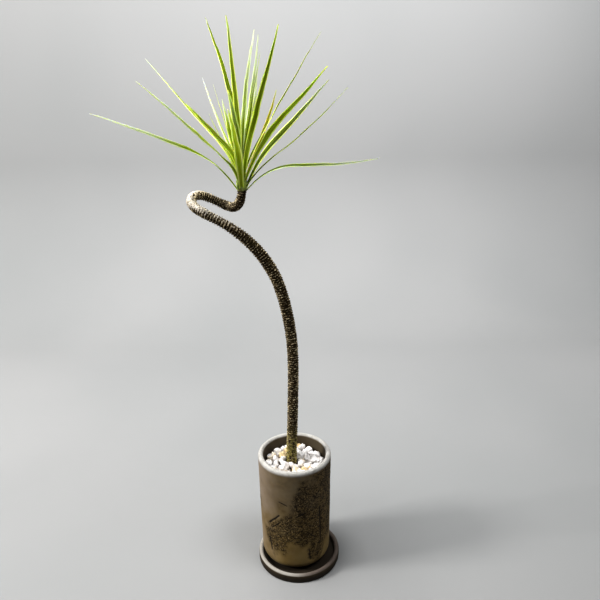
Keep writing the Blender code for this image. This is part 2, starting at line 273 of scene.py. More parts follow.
def grown(name, source, tree, sizes, material):
    # Runs a tree on a source object and keeps the result as a plain mesh.
    sockets = {item.name: item.identifier for item in tree.interface.items_tree if item.in_out == "INPUT"}
    modifier = source.modifiers.new("Growth", "NODES")
    modifier.node_group = tree
    for label, value in sizes.items():
        modifier[sockets[label]] = value
    modifier[sockets["Finish"]] = material
    depsgraph = bpy.context.evaluated_depsgraph_get()
    result = source.evaluated_get(depsgraph)
    mesh = bpy.data.meshes.new_from_object(result, preserve_all_data_layers=True, depsgraph=depsgraph)
    bpy.data.objects.remove(source)
    mesh.name = name
    return added(name, mesh)


def meshObject(name, points, faces):
    mesh = bpy.data.meshes.new(name)
    mesh.from_pydata(points, [], faces)
    return added(name, mesh)


def bmeshObject(name, shape):
    mesh = bpy.data.meshes.new(name)
    shape.to_mesh(mesh)
    shape.free()
    return added(name, mesh)


def pathObject(name, points, radii):
    # An open path whose points carry a thickness.
    curve = bpy.data.curves.new(name, "CURVE")
    curve.dimensions = "3D"
    spline = curve.splines.new("POLY")
    spline.points.add(len(points) - 1)
    for point, place, radius in zip(spline.points, points, radii):
        point.co = (*place, 1.0)
        point.radius = radius
    return added(name, curve)


trees = {}


def makePiece(name, source, sizes, build, material, slot, *nodes):
    # Grows a piece from its source with build's tree. The piece rides on the plant's one body and
    # stands for the named solids, if any.
    if build not in trees:
        trees[build] = growthTree(build.__name__, sizes, build)
    piece = grown(name, source, trees[build], sizes, material)
    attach(piece, "root")
    if nodes:
        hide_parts(*nodes)
    print(name + ":", len(piece.data.polygons), "faces")


# Turned shapes

def arc(centre, radius, start, end, steps):
    angles = np.radians(np.linspace(start, end, steps + 1))
    return [(centre[0] + radius * cos(a), centre[1] + radius * sin(a)) for a in angles]


def evened(outline, step):
    # The same outline with points about a step apart on its long straights.
    points = [outline[0]]
    for (r0, z0), (r1, z1) in zip(outline, outline[1:]):
        count = max(1, round(hypot(r1 - r0, z1 - z0) / step))
        points += [(r0 + (r1 - r0) * k / count, z0 + (z1 - z0) * k / count) for k in range(1, count + 1)]
    return points


def turnedMesh(name, outline, sides, centre, closed):
    # Turns an outline of (radius, height) about an upright axis; faces look outwards.
    shape = bmesh.new()
    rings = []
    for r, z in outline:
        # a point on the axis is a pole
        angles = [2 * pi * i / sides for i in range(1 if r < 1e-6 else sides)]
        ring = [(centre[0] + r * cos(a), centre[1] + r * sin(a), z) for a in angles]
        rings.append([shape.verts.new(point) for point in ring])
    pairs = list(zip(rings, rings[1:]))
    if closed:
        pairs.append((rings[-1], rings[0]))
    for low, high in pairs:
        for i in range(sides):
            j = (i + 1) % sides
            if len(low) == 1:
                shape.faces.new((low[0], high[j], high[i]))
            elif len(high) == 1:
                shape.faces.new((low[i], low[j], high[0]))
            else:
                shape.faces.new((low[i], low[j], high[j], high[i]))
    bmesh.ops.recalc_face_normals(shape, faces=shape.faces)
    return bmeshObject(name, shape)


def turnedVessel(name, s):
    # From its measures: the underside, the outer corner, the rim, the inner corner and the inner floor.
    base, corner, fillet, lip = s["base"], s["corner"], s["fillet"], s["wall"] / 2
    floor = base + s["floor"]
    outline = [(s["drain"], base), (s["lowRadius"] - corner, base)]
    outline += arc((s["lowRadius"] - corner, base + corner), corner, -90, 0, s["cornerSteps"])[1:]
    outline += arc((s["rimRadius"] - lip, base + s["height"] - lip), lip, 0, 180, s["rimSteps"])
    outline += arc((s["lowRadius"] - s["wall"] - fillet, floor + fillet), fillet, 0, -90, 5)
    outline += [(s["drain"], floor)]
    return turnedMesh(name, evened(outline, s["step"]), s["sides"], s["centre"], closed=s["drain"] > 0)


# Stoneware, for the pot and the saucer

clay = {
    "wallRadius": 0.0588,
    # soft-edged crackled patches of dark crust, some set on the right side where their darkness is also
    # painted shade, as (round the pot from its front, height, half width, half height)
    "patches": (
        (0.058, 0.16, 0.05, 0.056), (0.016, 0.142, 0.022, 0.04),
        (0.054, 0.112, 0.06, 0.06), (0.018, 0.088, 0.038, 0.03),
        (0.038, 0.054, 0.018, 0.034), (-0.034, 0.07, 0.024, 0.036),
        (-0.006, 0.096, 0.036, 0.024), (0.128, 0.09, 0.052, 0.07),
        (-0.13, 0.128, 0.05, 0.048),
    ),
    # tool marks, as (start round, start height, end round, end height, width)
    "marks": (
        (-0.05, 0.094, -0.025, 0.12, 0.0018), (-0.043, 0.088, -0.024, 0.106, 0.0011),
        (-0.028, 0.146, -0.011, 0.14, 0.0012), (0.0, 0.118, 0.019, 0.127, 0.0016),
        (0.026, 0.078, 0.04, 0.068, 0.0012), (-0.049, 0.068, -0.045, 0.038, 0.0019),
        (0.044, 0.13, 0.0465, 0.06, 0.0018), (0.024, 0.05, 0.025, 0.026, 0.0014),
        (0.11, 0.15, 0.142, 0.118, 0.001), (-0.12, 0.06, -0.12, 0.036, 0.001),
    ),
    "markWaver": 0.003,
    "crackleSize": 0.0056,
    "crackleBend": 0.004,
    # heights between which the brown foot turns into the grey body
    "footBlend": (0.07, 0.15),
    # how far left of the axis the painted highlight on the lit left side begins and is full
    "leftHighlightReach": (0.018, 0.057),
    "rimDepth": 0.0085,
    # colours, each row from dark to light
    "clouds": (0.32, 0.5, 0.68),
    "grey": ((0.095, 0.068, 0.036), (0.14, 0.106, 0.062), (0.195, 0.156, 0.102)),
    "brown": ((0.13, 0.086, 0.028), (0.19, 0.132, 0.046), (0.25, 0.182, 0.074)),
    "crustAndShade": ((0.018, 0.011, 0.003), (0.06, 0.038, 0.011), (0.15, 0.1, 0.036)),
    "leftHighlight": (0.25, 0.195, 0.155),
    "mottle": (0.22, 0.165, 0.085),
    "crackle": (0.01, 0.005, 0.001),
    "flecks": (0.36, 0.27, 0.15),
    "cuts": (0.01, 0.007, 0.005),
    "innerWall": (0.066, 0.054, 0.036),
    "paleRim": (0.48, 0.47, 0.45),
    "wornRim": (0.31, 0.3, 0.27),
}


def clayPattern(graph, centre):
    # Masks over the pot's wall, the same for its relief and for its colour.
    place = graph.place()
    x, y, z = place.parts()
    across = (x - centre[0]).maths("ARCTAN2", -(y - centre[1])) * clay["wallRadius"]
    stray = graph.noise(place, 55, detail=4) - 0.5
    patch = greatest([
        1 - (((across - u) / halfWidth) ** 2 + ((z - v) / halfHeight) ** 2)
        for u, v, halfWidth, halfHeight in clay["patches"]
    ])
    patch = (patch + stray * 2.4).ease(-0.45, 0.75)

    bend = graph.node("ShaderNodeTexNoise", {"Vector": place, "Scale": 160.0}, result="Color")
    bent = place.plus(bend.times(clay["crackleBend"]))
    gate = graph.noise(place, 210, detail=3, roughness=0.65)
    lines = 1 - graph.cells(bent, 1 / clay["crackleSize"], "DISTANCE_TO_EDGE").ease(0.05, 0.2)
    specks = graph.noise(place.stretched(1, 1, 1.25), 420, detail=3, roughness=0.6).ease(0.54, 0.59)
    share = (patch * 1.25 - (1 - gate) * 0.35).most(0).least(1)
    crackle = (lines * gate.ease(0.44, 0.54)).most(specks) * share
    flecks = graph.noise(place, 620, detail=2).ease(0.6, 0.68) * patch

    waver = stray * clay["markWaver"]
    marks = []
    for u0, v0, u1, v1, width in clay["marks"]:
        length = hypot(u1 - u0, v1 - v0)
        du, dv = (u1 - u0) / length, (v1 - v0) / length
        ahead = (across - u0) * du + (z - v0) * dv
        aside = abs((across - u0) * -dv + (z - v0) * du + waver)
        # each mark starts and ends softly
        begun = (1 - aside.ease(width * 0.35, width * 1.1)) * ahead.ease(0, 0.003)
        marks.append(begun * (1 - ahead.ease(length - 0.004, length)))
    return {"patch": patch, "crackle": crackle, "flecks": flecks, "marks": greatest(marks)}


def clayRelief(graph, shape, given, centre, outside):
    # A hand-made wall: it wanders a little, and the crackle and tool marks are cut into its outside.
    place = graph.place()
    masks = clayPattern(graph, centre)
    wander = graph.uneven(place.stretched(1, 1, 0.7), 16, 1, given["Wander"])
    throwing = graph.uneven(place.stretched(0.02, 0.02, 1), 300, 1, given["Throwing lines"])
    grain = graph.uneven(place, 420, 3, given["Grain"])
    rough = graph.uneven(place, 190, 3, masks["patch"]) * given["Patch grain"]
    cut = masks["crackle"] * given["Crackle depth"] + masks["marks"] * given["Mark depth"]
    return graph.raised(shape, wander + throwing + grain + rough - cut * outside)


def clayPaint(graph, centre, rimHeight):
    s = clay
    place = graph.place()
    x, z = place.parts()[::2]
    masks = clayPattern(graph, centre)
    cloud = graph.noise(place, 22, detail=3)
    mottle = graph.noise(place, 130, detail=4, roughness=0.6)
    low = 1 - (z + (cloud - 0.5) * 0.08).ease(*s["footBlend"])
    grey, brown = (graph.ramp(cloud, s["clouds"], s[name]) for name in ("grey", "brown"))
    # painted highlight: the left side, which faces the light, is lighter and greyer
    leftHighlit = (centre[0] - x).ease(*s["leftHighlightReach"]) * cloud.ease(0.3, 0.6)
    # dark crust on the patches; on the right side it is also painted shade
    crustAndShade = graph.ramp(mottle, (0.34, 0.48, 0.66), s["crustAndShade"])
    # the inner wall above the soil is darker
    inside = 1 - graph.fromAxis(centre).ease(s["wallRadius"] - 0.006, s["wallRadius"] - 0.0045)
    under = 1 - z.ease(rimHeight - 0.004, rimHeight - 0.001)
    rim = z.ease(rimHeight - s["rimDepth"], rimHeight - s["rimDepth"] * 0.35) * (1 - inside * under)
    worn = graph.mix(mottle.ease(0.46, 0.62) * 0.45, s["paleRim"], s["wornRim"])
    colour = graph.layered(
        graph.mix(low, grey, brown),
        (leftHighlit * 0.55, s["leftHighlight"]),
        (mottle.ease(0.35, 0.75) * 0.3, s["mottle"]),
        (masks["patch"] * 0.7, crustAndShade),
        (masks["crackle"] * 0.9, s["crackle"]),
        (masks["flecks"] * 0.8, s["flecks"]),
        (masks["marks"] * 0.95, s["cuts"]),
        (inside * 0.75, s["innerWall"]),
        (rim * 0.9, worn),
    )
    rough = 0.66 + masks["patch"] * 0.2 + mottle * 0.12
    relief = mottle * 0.6 + graph.noise(place, 900, detail=2) * 0.5 - masks["crackle"] * 0.8
    return graph.look(colour, relief, 0.35, 0.0006, Roughness=rough)


potSizes = {"centre": (-0.0046, 0.0062), "base": 0.0068, "height": 0.1975, "rimRadius": 0.06,
            "lowRadius": 0.0575, "corner": 0.018, "fillet": 0.0095, "wall": 0.0085, "floor": 0.009,
            "drain": 0.008, "cornerSteps": 14, "rimSteps": 14, "sides": 240, "step": 0.0016}
potRelief = {"Wander": 0.0012, "Throwing lines": 0.00025, "Grain": 0.00012, "Patch grain": 0.0008,
             "Crackle depth": 0.00035, "Mark depth": 0.0008}


def makePot():
    s = potSizes

    def potWall(graph, shape, given):
        outside = graph.fromAxis(s["centre"]).ease(s["lowRadius"] - 0.004, s["lowRadius"] - 0.002)
        return clayRelief(graph, shape, given, s["centre"], outside)

    stoneware = finish("potStoneware", lambda graph: clayPaint(graph, s["centre"], s["base"] + s["height"]),
                       Specular_IOR_Level=0.12, Sheen_Weight=0.03, Sheen_Roughness=0.4)
    body = turnedVessel("potBody", s)
    makePiece("stoneware_pot", body, potRelief, potWall, stoneware, "stoneware", "pot")


saucerSizes = {"centre": (0, 0), "base": 0, "height": 0.0155, "rimRadius": 0.069, "lowRadius": 0.069,
               "corner": 0.0015, "fillet": 0.0035, "wall": 0.0075, "floor": 0.0065,
               "drain": 0, "cornerSteps": 3, "rimSteps": 12, "sides": 200, "step": 0.0016}
saucerRelief = {"Wander": 0.0007, "Grain": 0.00012}
saucerTones = {
    # dark stoneware, made darker still as painted shade on the outer wall under the rim
    "clay": ((0.026, 0.016, 0.007), (0.054, 0.036, 0.017)),
    "mottle": (0.1, 0.075, 0.045),
    # the rim is paler on the side that gets the light
    "paleRim": (0.35, 0.33, 0.3),
    "dullRim": (0.13, 0.105, 0.09),
    "lowShade": (0.02, 0.015, 0.01),
}


def makeSaucer():
    s = saucerSizes

    def saucerWall(graph, shape, given):
        # the underside and the inner floor stay true, so that the pot and the saucer still stand flat
        place = graph.place()
        rising = place.parts()[2].ease(0.0004, 0.003)
        free = graph.fromAxis().ease(s["rimRadius"] - s["wall"] * 1.6, s["rimRadius"] - s["wall"]) * rising
        wander = graph.uneven(place, 22, 1, given["Wander"])
        grain = graph.uneven(place, 420, 3, given["Grain"])
        return graph.raised(shape, (wander + grain) * free)

    def paint(graph):
        place = graph.place()
        x, z = place.parts()[::2]
        cloud = graph.noise(place, 30, detail=3)
        mottle = graph.noise(place, 160, detail=4, roughness=0.6)
        shaded = (x + (cloud - 0.5) * 0.06).ease(-0.025, 0.036)
        colour = graph.layered(
            graph.ramp(cloud, (0.32, 0.68), saucerTones["clay"]),
            (mottle.ease(0.4, 0.7) * 0.3, saucerTones["mottle"]),
            (z.ease(s["height"] - 0.0034, s["height"] - 0.0016) * 0.88,
             graph.mix(shaded, saucerTones["paleRim"], saucerTones["dullRim"])),
            # painted shade: everything lower than just above the inner floor, the foot of the outer wall
            # included, is darkened
            ((1 - z.ease(s["floor"] + 0.0004, s["floor"] + 0.004)) * 0.8, saucerTones["lowShade"]),
        )
        relief = mottle + graph.noise(place, 800, detail=2) * 0.5
        return graph.look(colour, relief, 0.3, 0.0005, Roughness=0.6 + mottle * 0.25)

    stoneware = finish("saucerStoneware", paint, Specular_IOR_Level=0.2)
    body = turnedVessel("saucerBody", s)
    makePiece("stoneware_saucer", body, saucerRelief, saucerWall, stoneware, "stoneware", "saucer")


# Soil, stones and chips

soil = {
    "level": 0.178,
    "tones": ((0.012, 0.008, 0.005), (0.04, 0.026, 0.015), (0.105, 0.074, 0.045)),
}


def soilPaint(graph):
    crumbs = graph.noise(graph.place(), 420, detail=4, roughness=0.7)
    colour = graph.ramp(crumbs, (0.3, 0.55, 0.75), soil["tones"])
    return graph.look(colour, crumbs, 0.8, 0.0015)


def soilHeight(graph):
    # the waves of the solid soil's top, so that what is strewn on it lies on it
    x, y = graph.place().parts()[:2]
    waves = [(x * 170 + 1.3).maths("SINE"), (y * 140 - 0.6).maths("SINE"), ((x + y) * 120).maths("SINE")]
    return (waves[0] + waves[1] + waves[2]) * 0.0006 + soil["level"]


def drawn(graph, low, high, seed):
    # a random number or vector for each grain
    kind, first, result = ("FLOAT_VECTOR", 0, 0) if isinstance(low, tuple) else ("FLOAT", 2, 1)
    sockets = {first: low, first + 1: high, "Seed": seed}
    return graph.node("FunctionNodeRandomValue", sockets, result, data_type=kind)


def strewnGrains(graph, shape, given):
    # Strews rough grains over a flat ring, on the soil's waves, heaped up round the trunk.
    spread = {"Mesh": shape, "Distance Min": given["Spacing"], "Density Max": given["Density"],
              "Seed": given["Seed"]}
    placed = graph.node("GeometryNodeDistributePointsOnFaces", spread, distribute_method="POISSON")
    x, y = graph.place().parts()[:2]
    mound = (1 - graph.fromAxis(trunk["route"][0]).ease(0.012, 0.03)) * given["Mound"]
    placed = graph.movedTo(placed, graph.point(x, y, soilHeight(graph) + given["Lift"] + mound))
    grain = graph.node("GeometryNodeMeshIcoSphere", {"Radius": 1.0, "Subdivisions": given["Detail"]})
    swell = graph.uneven(graph.place(), 1.3, 2, 1.7) + (graph.cells(graph.place(), 1.6) - 0.45) * 0.55
    grain = graph.moved(grain, graph.place().times(swell))
    turn = drawn(graph, (0, 0, 0), (6.28, 6.28, 6.28), 3)
    size = drawn(graph, given["Smallest"], given["Largest"], 5)
    scale = drawn(graph, (0.8, 0.65, 0.5), (1.1, 1.0, 0.8), 7).times(size)
    strewn = graph.node("GeometryNodeInstanceOnPoints",
                        {"Points": placed, "Instance": grain, "Rotation": turn, "Scale": scale})
    return graph.store(strewn, "tint", drawn(graph, 0.0, 1.0, 9), "INSTANCE")


def bedRing(name, innerRadius, outerRadius, sides=48):
    # A flat ring between the trunk and the pot's wall.
    points, faces = [], []
    for i in range(sides):
        a = 2 * pi * i / sides
        for centre, radius in ((trunk["route"][0], innerRadius), (potSizes["centre"], outerRadius)):
            points.append((centre[0] + radius * cos(a), centre[1] + radius * sin(a), soil["level"]))
        j = (i + 1) % sides
        faces.append((2 * i, 2 * i + 1, 2 * j + 1, 2 * j))
    return meshObject(name, points, faces)


# for each strewn piece, its bed's inner and outer radius and its tree's inputs
strewn = {
    "soil_crumbs": (0.0095, 0.0492, {
        "Spacing": 0.0013, "Density": 500000.0, "Seed": 4, "Lift": 0.0002, "Mound": 0.0, "Detail": 1,
        "Smallest": 0.0006, "Largest": 0.0015}),
    "stone_chips": (0.011, 0.047, {
        "Spacing": 0.0036, "Density": 120000.0, "Seed": 8, "Lift": 0.0022, "Mound": 0.0, "Detail": 2,
        "Smallest": 0.0016, "Largest": 0.0031}),
    "stone_rubble": (0.0142, 0.0415, {
        "Spacing": 0.0104, "Density": 26000.0, "Seed": 102, "Lift": 0.0068, "Mound": 0.004, "Detail": 3,
        "Smallest": 0.006, "Largest": 0.0084}),
}
stoneSizes = {"Detail": 3, "Softening": 3, "Swell": 0.0006, "Lumps": 0.0028, "Chipping": 0.002,
              "Grain": 0.0008}
stoneStain = (0.82, 0.66, 0.4)
stoneTones = {
    # tones from dark to light, and the colour of the pits
    "white_stone": (((0.8, 0.77, 0.74), (0.9, 0.88, 0.87), (0.94, 0.93, 0.93)), (0.3, 0.26, 0.21)),
    "ochre_stone": (((0.5, 0.33, 0.14), (0.84, 0.68, 0.42), (0.95, 0.91, 0.83)), (0.24, 0.15, 0.06)),
    "grey_stone": (((0.42, 0.41, 0.41), (0.7, 0.69, 0.7), (0.92, 0.91, 0.91)), (0.16, 0.15, 0.13)),
}


def stonePaint(tones, pitted):
    # Broken faces: chalky, stained in places, with fine darker pits.
    def paint(graph):
        place = graph.place()
        grain = graph.noise(place, 900, detail=3, roughness=0.7)
        pits = graph.cells(place, 520).ease(0.1, 0.24)
        colour = graph.layered(
            graph.ramp(graph.noise(place, 95, detail=3), (0.3, 0.5, 0.72), tones),
            (graph.noise(place, 48, detail=3).ease(0.56, 0.66) * 0.55, stoneStain),
            ((1 - pits) * 0.4, pitted),
            ((1 - grain.ease(0.34, 0.52)) * 0.3, pitted),
        )
        return graph.look(colour, grain * 0.7 + pits * 0.5, 0.6, 0.0008)
    return paint


# Chips have every colour, from white and ochre down to nearly black; rubble is nearly all chalk white.
# Each has the fineness of its grain, the tones by a grain's own tint, and the dirt in its hollows.
looseStones = {
    "chipStone": {
        "grain": 900, "tints": (0.0, 0.3, 0.55, 0.75, 0.85, 0.95),
        "tones": ((0.2, 0.15, 0.1), (0.44, 0.38, 0.31), (0.82, 0.79, 0.75),
                  (0.52, 0.35, 0.18), (0.14, 0.09, 0.05), (0.1, 0.09, 0.08)),
        "hollows": (0.35, 0.55), "dirt": (0.4, (0.2, 0.16, 0.12)), "bump": (0.5, 0.0006),
    },
    "rubbleStone": {
        "grain": 700, "tints": (0.0, 0.72, 0.82, 0.9, 0.94),
        "tones": ((0.84, 0.81, 0.79), (0.9, 0.88, 0.87), (0.86, 0.7, 0.44),
                  (0.7, 0.5, 0.26), (0.45, 0.45, 0.44)),
        "hollows": (0.3, 0.48), "dirt": (0.3, (0.34, 0.29, 0.23)), "bump": (0.6, 0.0008),
    },
}


def looseFinish(name, roughness, **fixed):
    s = looseStones[name]

    def paint(graph):
        grain = graph.noise(graph.place(), s["grain"], detail=3, roughness=0.7)
        colour = graph.ramp(graph.stored("tint"), s["tints"], s["tones"])
        share, dirt = s["dirt"]
        colour = graph.mix((1 - grain.ease(*s["hollows"])) * share, colour, dirt)
        return graph.look(colour, grain, *s["bump"])

    return finish(name, paint, roughness, **fixed)


def crushedStone(graph, shape, given):
    # Broken stones: the solids' own corners, worn a little, with lumps, chipped hollows and grain.
    shape = graph.node("GeometryNodeSubdivideMesh", {"Mesh": shape, "Level": given["Detail"]})
    place = graph.place()
    softened = {"Value": place, "Iterations": given["Softening"]}
    shape = graph.movedTo(shape, graph.node("GeometryNodeBlurAttribute", softened, data_type="FLOAT_VECTOR"))
    lumps = (graph.noise(place, 150, detail=2) - 0.45) * given["Lumps"]
    chipping = -(1 - graph.cells(place, 230).ease(0.15, 0.55)) * given["Chipping"]
    grain = graph.uneven(place, 620, 3, given["Grain"])
    return graph.raised(shape, given["Swell"] + lumps + chipping + grain)


def makeGround():
    soilFinish = finish("pottingSoil", soilPaint, 0.95)
    solid = frame["nodes"]["potting_soil"].data
    solid.materials.clear()
    solid.materials.append(soilFinish)

    looks = {
        "soil_crumbs": ("soil", soilFinish),
        "stone_chips": ("white_stone", looseFinish("chipStone", 0.8)),
        "stone_rubble": ("white_stone", looseFinish("rubbleStone", 0.85, Specular_IOR_Level=0.2)),
    }
    for name, (innerRadius, outerRadius, sizes) in strewn.items():
        slot, material = looks[name]
        makePiece(name, bedRing(name + "Bed", innerRadius, outerRadius), sizes, strewnGrains, material, slot)

    kinds = {}
    for row in frame["record"]["subparts"]:
        if row["node"].startswith("stone_"):
            kinds.setdefault(row["material_slot"], []).append(row["node"])
    for slot, nodes in kinds.items():
        shape = bmesh.new()
        for node in nodes:
            shape.from_mesh(frame["nodes"][node].data)
        bmesh.ops.remove_doubles(shape, verts=shape.verts, dist=1e-6)
        face = finish(slot + "Face", stonePaint(*stoneTones[slot]), 0.85)
        makePiece(slot + "s", bmeshObject(slot, shape), stoneSizes, crushedStone, face, slot, *nodes)


# Trunk

trunk = {
    # the middle line, from the soil to the neck under the leaves
    "route": (
        (-0.01, 0.01, 0.095), (-0.01, 0.01, 0.135), (-0.01, 0.0098, 0.18),
        (-0.008, 0.0075, 0.23), (-0.0055, 0.0045, 0.29), (-0.0038, 0.0015, 0.35),
        (-0.0047, -0.0025, 0.405), (-0.012, -0.008, 0.462), (-0.028, -0.016, 0.519),
        (-0.053, -0.025, 0.561), (-0.088, -0.031, 0.594), (-0.121, -0.024, 0.611),
        (-0.139, -0.004, 0.618), (-0.144, 0.02, 0.6235), (-0.136, 0.043, 0.6235),
        (-0.115, 0.052, 0.6135), (-0.095, 0.043, 0.6065), (-0.081, 0.024, 0.611),
        (-0.0727, 0.011, 0.625), (-0.0705, 0.008, 0.636),
    ),
    # half its thickness, by share of its length
    "radii": (
        (0.0, 0.008), (0.098, 0.0098), (0.125, 0.0086), (0.16, 0.0081),
        (0.45, 0.008), (0.6, 0.0084), (0.66, 0.0078), (0.73, 0.0065),
        (0.86, 0.0063), (0.94, 0.0066), (1.0, 0.006),
    ),
    "points": 400,
}
trunkSizes = {"Step": 0.0006, "Sides": 44, "Scar pitch": 0.004, "Scar wander": 0.002, "Scar lip": 0.0017,
              "Scar groove": 0.0005, "Bark lumps": 0.0012, "Bark grain": 0.0007}


def smoothRoute(points, count):
    # Evenly spaced points on a natural cubic spline through the given ones.
    points = np.array(points)
    spans = np.linalg.norm(np.diff(points, axis=0), axis=1)
    knots = np.concatenate([[0], np.cumsum(spans)])
    size = len(points)
    matrix = np.zeros((size, size))
    right = np.zeros((size, 3))
    matrix[0, 0] = matrix[-1, -1] = 1
    for i in range(1, size - 1):
        before, after = spans[i - 1], spans[i]
        matrix[i, i - 1:i + 2] = before, 2 * (before + after), after
        slopes = np.diff(points[i - 1:i + 2], axis=0) / ((before,), (after,))
        right[i] = 6 * (slopes[1] - slopes[0])
    bend = np.linalg.solve(matrix, right)

    def at(t):
        i = min(np.searchsorted(knots, t, side="right") - 1, size - 2)
        h = spans[i]
        a, b = (knots[i + 1] - t) / h, (t - knots[i]) / h
        straight = a * points[i] + b * points[i + 1]
        return straight + ((a ** 3 - a) * bend[i] + (b ** 3 - b) * bend[i + 1]) * h * h / 6

    fine = np.array([at(t) for t in np.linspace(0, knots[-1], 4 * count)])
    lengths = np.concatenate([[0], np.cumsum(np.linalg.norm(np.diff(fine, axis=0), axis=1))])
    wanted = np.linspace(0, lengths[-1], count)
    return np.stack([np.interp(wanted, lengths, fine[:, k]) for k in range(3)], axis=1)


barkTones = {
    "bark": ((0.009, 0.005, 0.001), (0.029, 0.017, 0.004), (0.108, 0.068, 0.026)),
    "cloud": (0.055, 0.042, 0.012),
    "flake": (0.7, 0.585, 0.38),
    "groove": (0.008, 0.005, 0.002),
    # the painted highlight where the stem faces the light
    "paintedHighlight": (0.64, 0.6, 0.54),
    "lichen": (0.43, 0.37, 0.12),
}


def ringedStem(graph, shape, given):
    # A tube along the path whose old leaf scars stand out as close rings.
    shape = graph.resampled(shape, given["Step"])
    shape = graph.store(shape, "along", graph.node("GeometryNodeSplineParameter", result="Length"))
    shape = graph.swept(shape, graph.circle(given["Sides"]))
    place = graph.place()
    wander = graph.uneven(place, 45, 2, given["Scar wander"]) * 2
    ragged = graph.uneven(place, 420, 2, given["Scar wander"]) * 1.6
    phase = ((graph.stored("along") + wander + ragged) / given["Scar pitch"]).fraction()
    shape = graph.store(shape, "scar", phase)
    phase = graph.stored("scar")
    lip = (1 - phase.ease(0.0, 0.16)) + phase.ease(0.72, 1.0)
    groove = phase.ease(0.14, 0.24) * (1 - phase.ease(0.24, 0.5))
    lumps = graph.uneven(place, 120, 3, given["Bark lumps"])
    grain = graph.uneven(place, 700, 3, given["Bark grain"])
    east, upward = graph.node("GeometryNodeInputNormal").parts()[::2]
    # how far the smooth stem faces the light from above and the left, for the painted highlight
    shape = graph.store(shape, "skyward", upward - east * 0.55)
    scars = (lip - 0.5) * given["Scar lip"] - groove * given["Scar groove"]
    return graph.raised(shape, scars + lumps + grain)


def barkPaint(graph):
    place = graph.place()
    x, y, z = place.parts()
    phase = graph.stored("scar")
    mottle = graph.noise(place, 240, detail=4, roughness=0.65)
    cloud = graph.noise(place, 38, detail=2)
    lip = (1 - phase.ease(0.08, 0.24)).most(phase.ease(0.74, 0.88))
    groove = phase.ease(0.2, 0.28) * (1 - phase.ease(0.32, 0.5))
    # more flakes low on the stem and round the loop
    weathered = (1 - z.ease(0.34, 0.46)) * 0.025 + (-x).ease(0.06, 0.12) * 0.05
    flaked = (graph.noise(place, 340, detail=3, roughness=0.65) + weathered).ease(0.49, 0.57)
    # painted highlight: what faces the light from above and the left is paler, most of all on the loop
    loop = (-x - y * 0.8).ease(0.07, 0.12)
    litFacing = (graph.stored("skyward") + (mottle - 0.5) * 3.0 + lip * 0.5).ease(0.45, 1.4)
    lichen = (1 - z.ease(0.2, 0.27)) * graph.noise(place, 300, detail=3).ease(0.44, 0.56)
    colour = graph.layered(
        graph.ramp(mottle, (0.3, 0.5, 0.72), barkTones["bark"]),
        (cloud.ease(0.4, 0.65) * 0.3, barkTones["cloud"]),
        (lip * flaked * 0.95, barkTones["flake"]),
        (groove * 0.85, barkTones["groove"]),
        (litFacing * (0.08 + loop * 0.77) * 0.9, barkTones["paintedHighlight"]),
        (lichen * 0.9, barkTones["lichen"]),
    )
    relief = mottle + graph.noise(place, 1100, detail=2) * 0.5
    return graph.look(colour, relief, 0.5, 0.0007, Roughness=0.62 + mottle * 0.25)


def makeTrunk():
    route = smoothRoute(trunk["route"], trunk["points"])
    shares, radii = zip(*trunk["radii"])
    path = pathObject("trunkPath", route, np.interp(np.linspace(0, 1, len(route)), shares, radii))
    bark = finish("scarredBark", barkPaint, Specular_IOR_Level=0.08)
    makePiece("ringed_trunk", path, trunkSizes, ringedStem, bark, "bark", "trunk")


# Leaves

leafShape = {
    "footWidth": 0.52,
    "fullFrom": 0.3,
    "taperFrom": 0.35,
    "taperPower": 1.45,
    "tipWidth": 0.0011,
    "steps": 14,
    "points": 60,
    "clearance": 0.0003,
    # the growing tip's thickness: (height above the neck, radius)
    "stem": ((0.0, 0.0056), (0.01, 0.005), (0.022, 0.0038), (0.034, 0.0026),
             (0.048, 0.0019), (0.09, 0.0014), (0.125, 0.0006)),
    "stemCap": 0.0005,
}
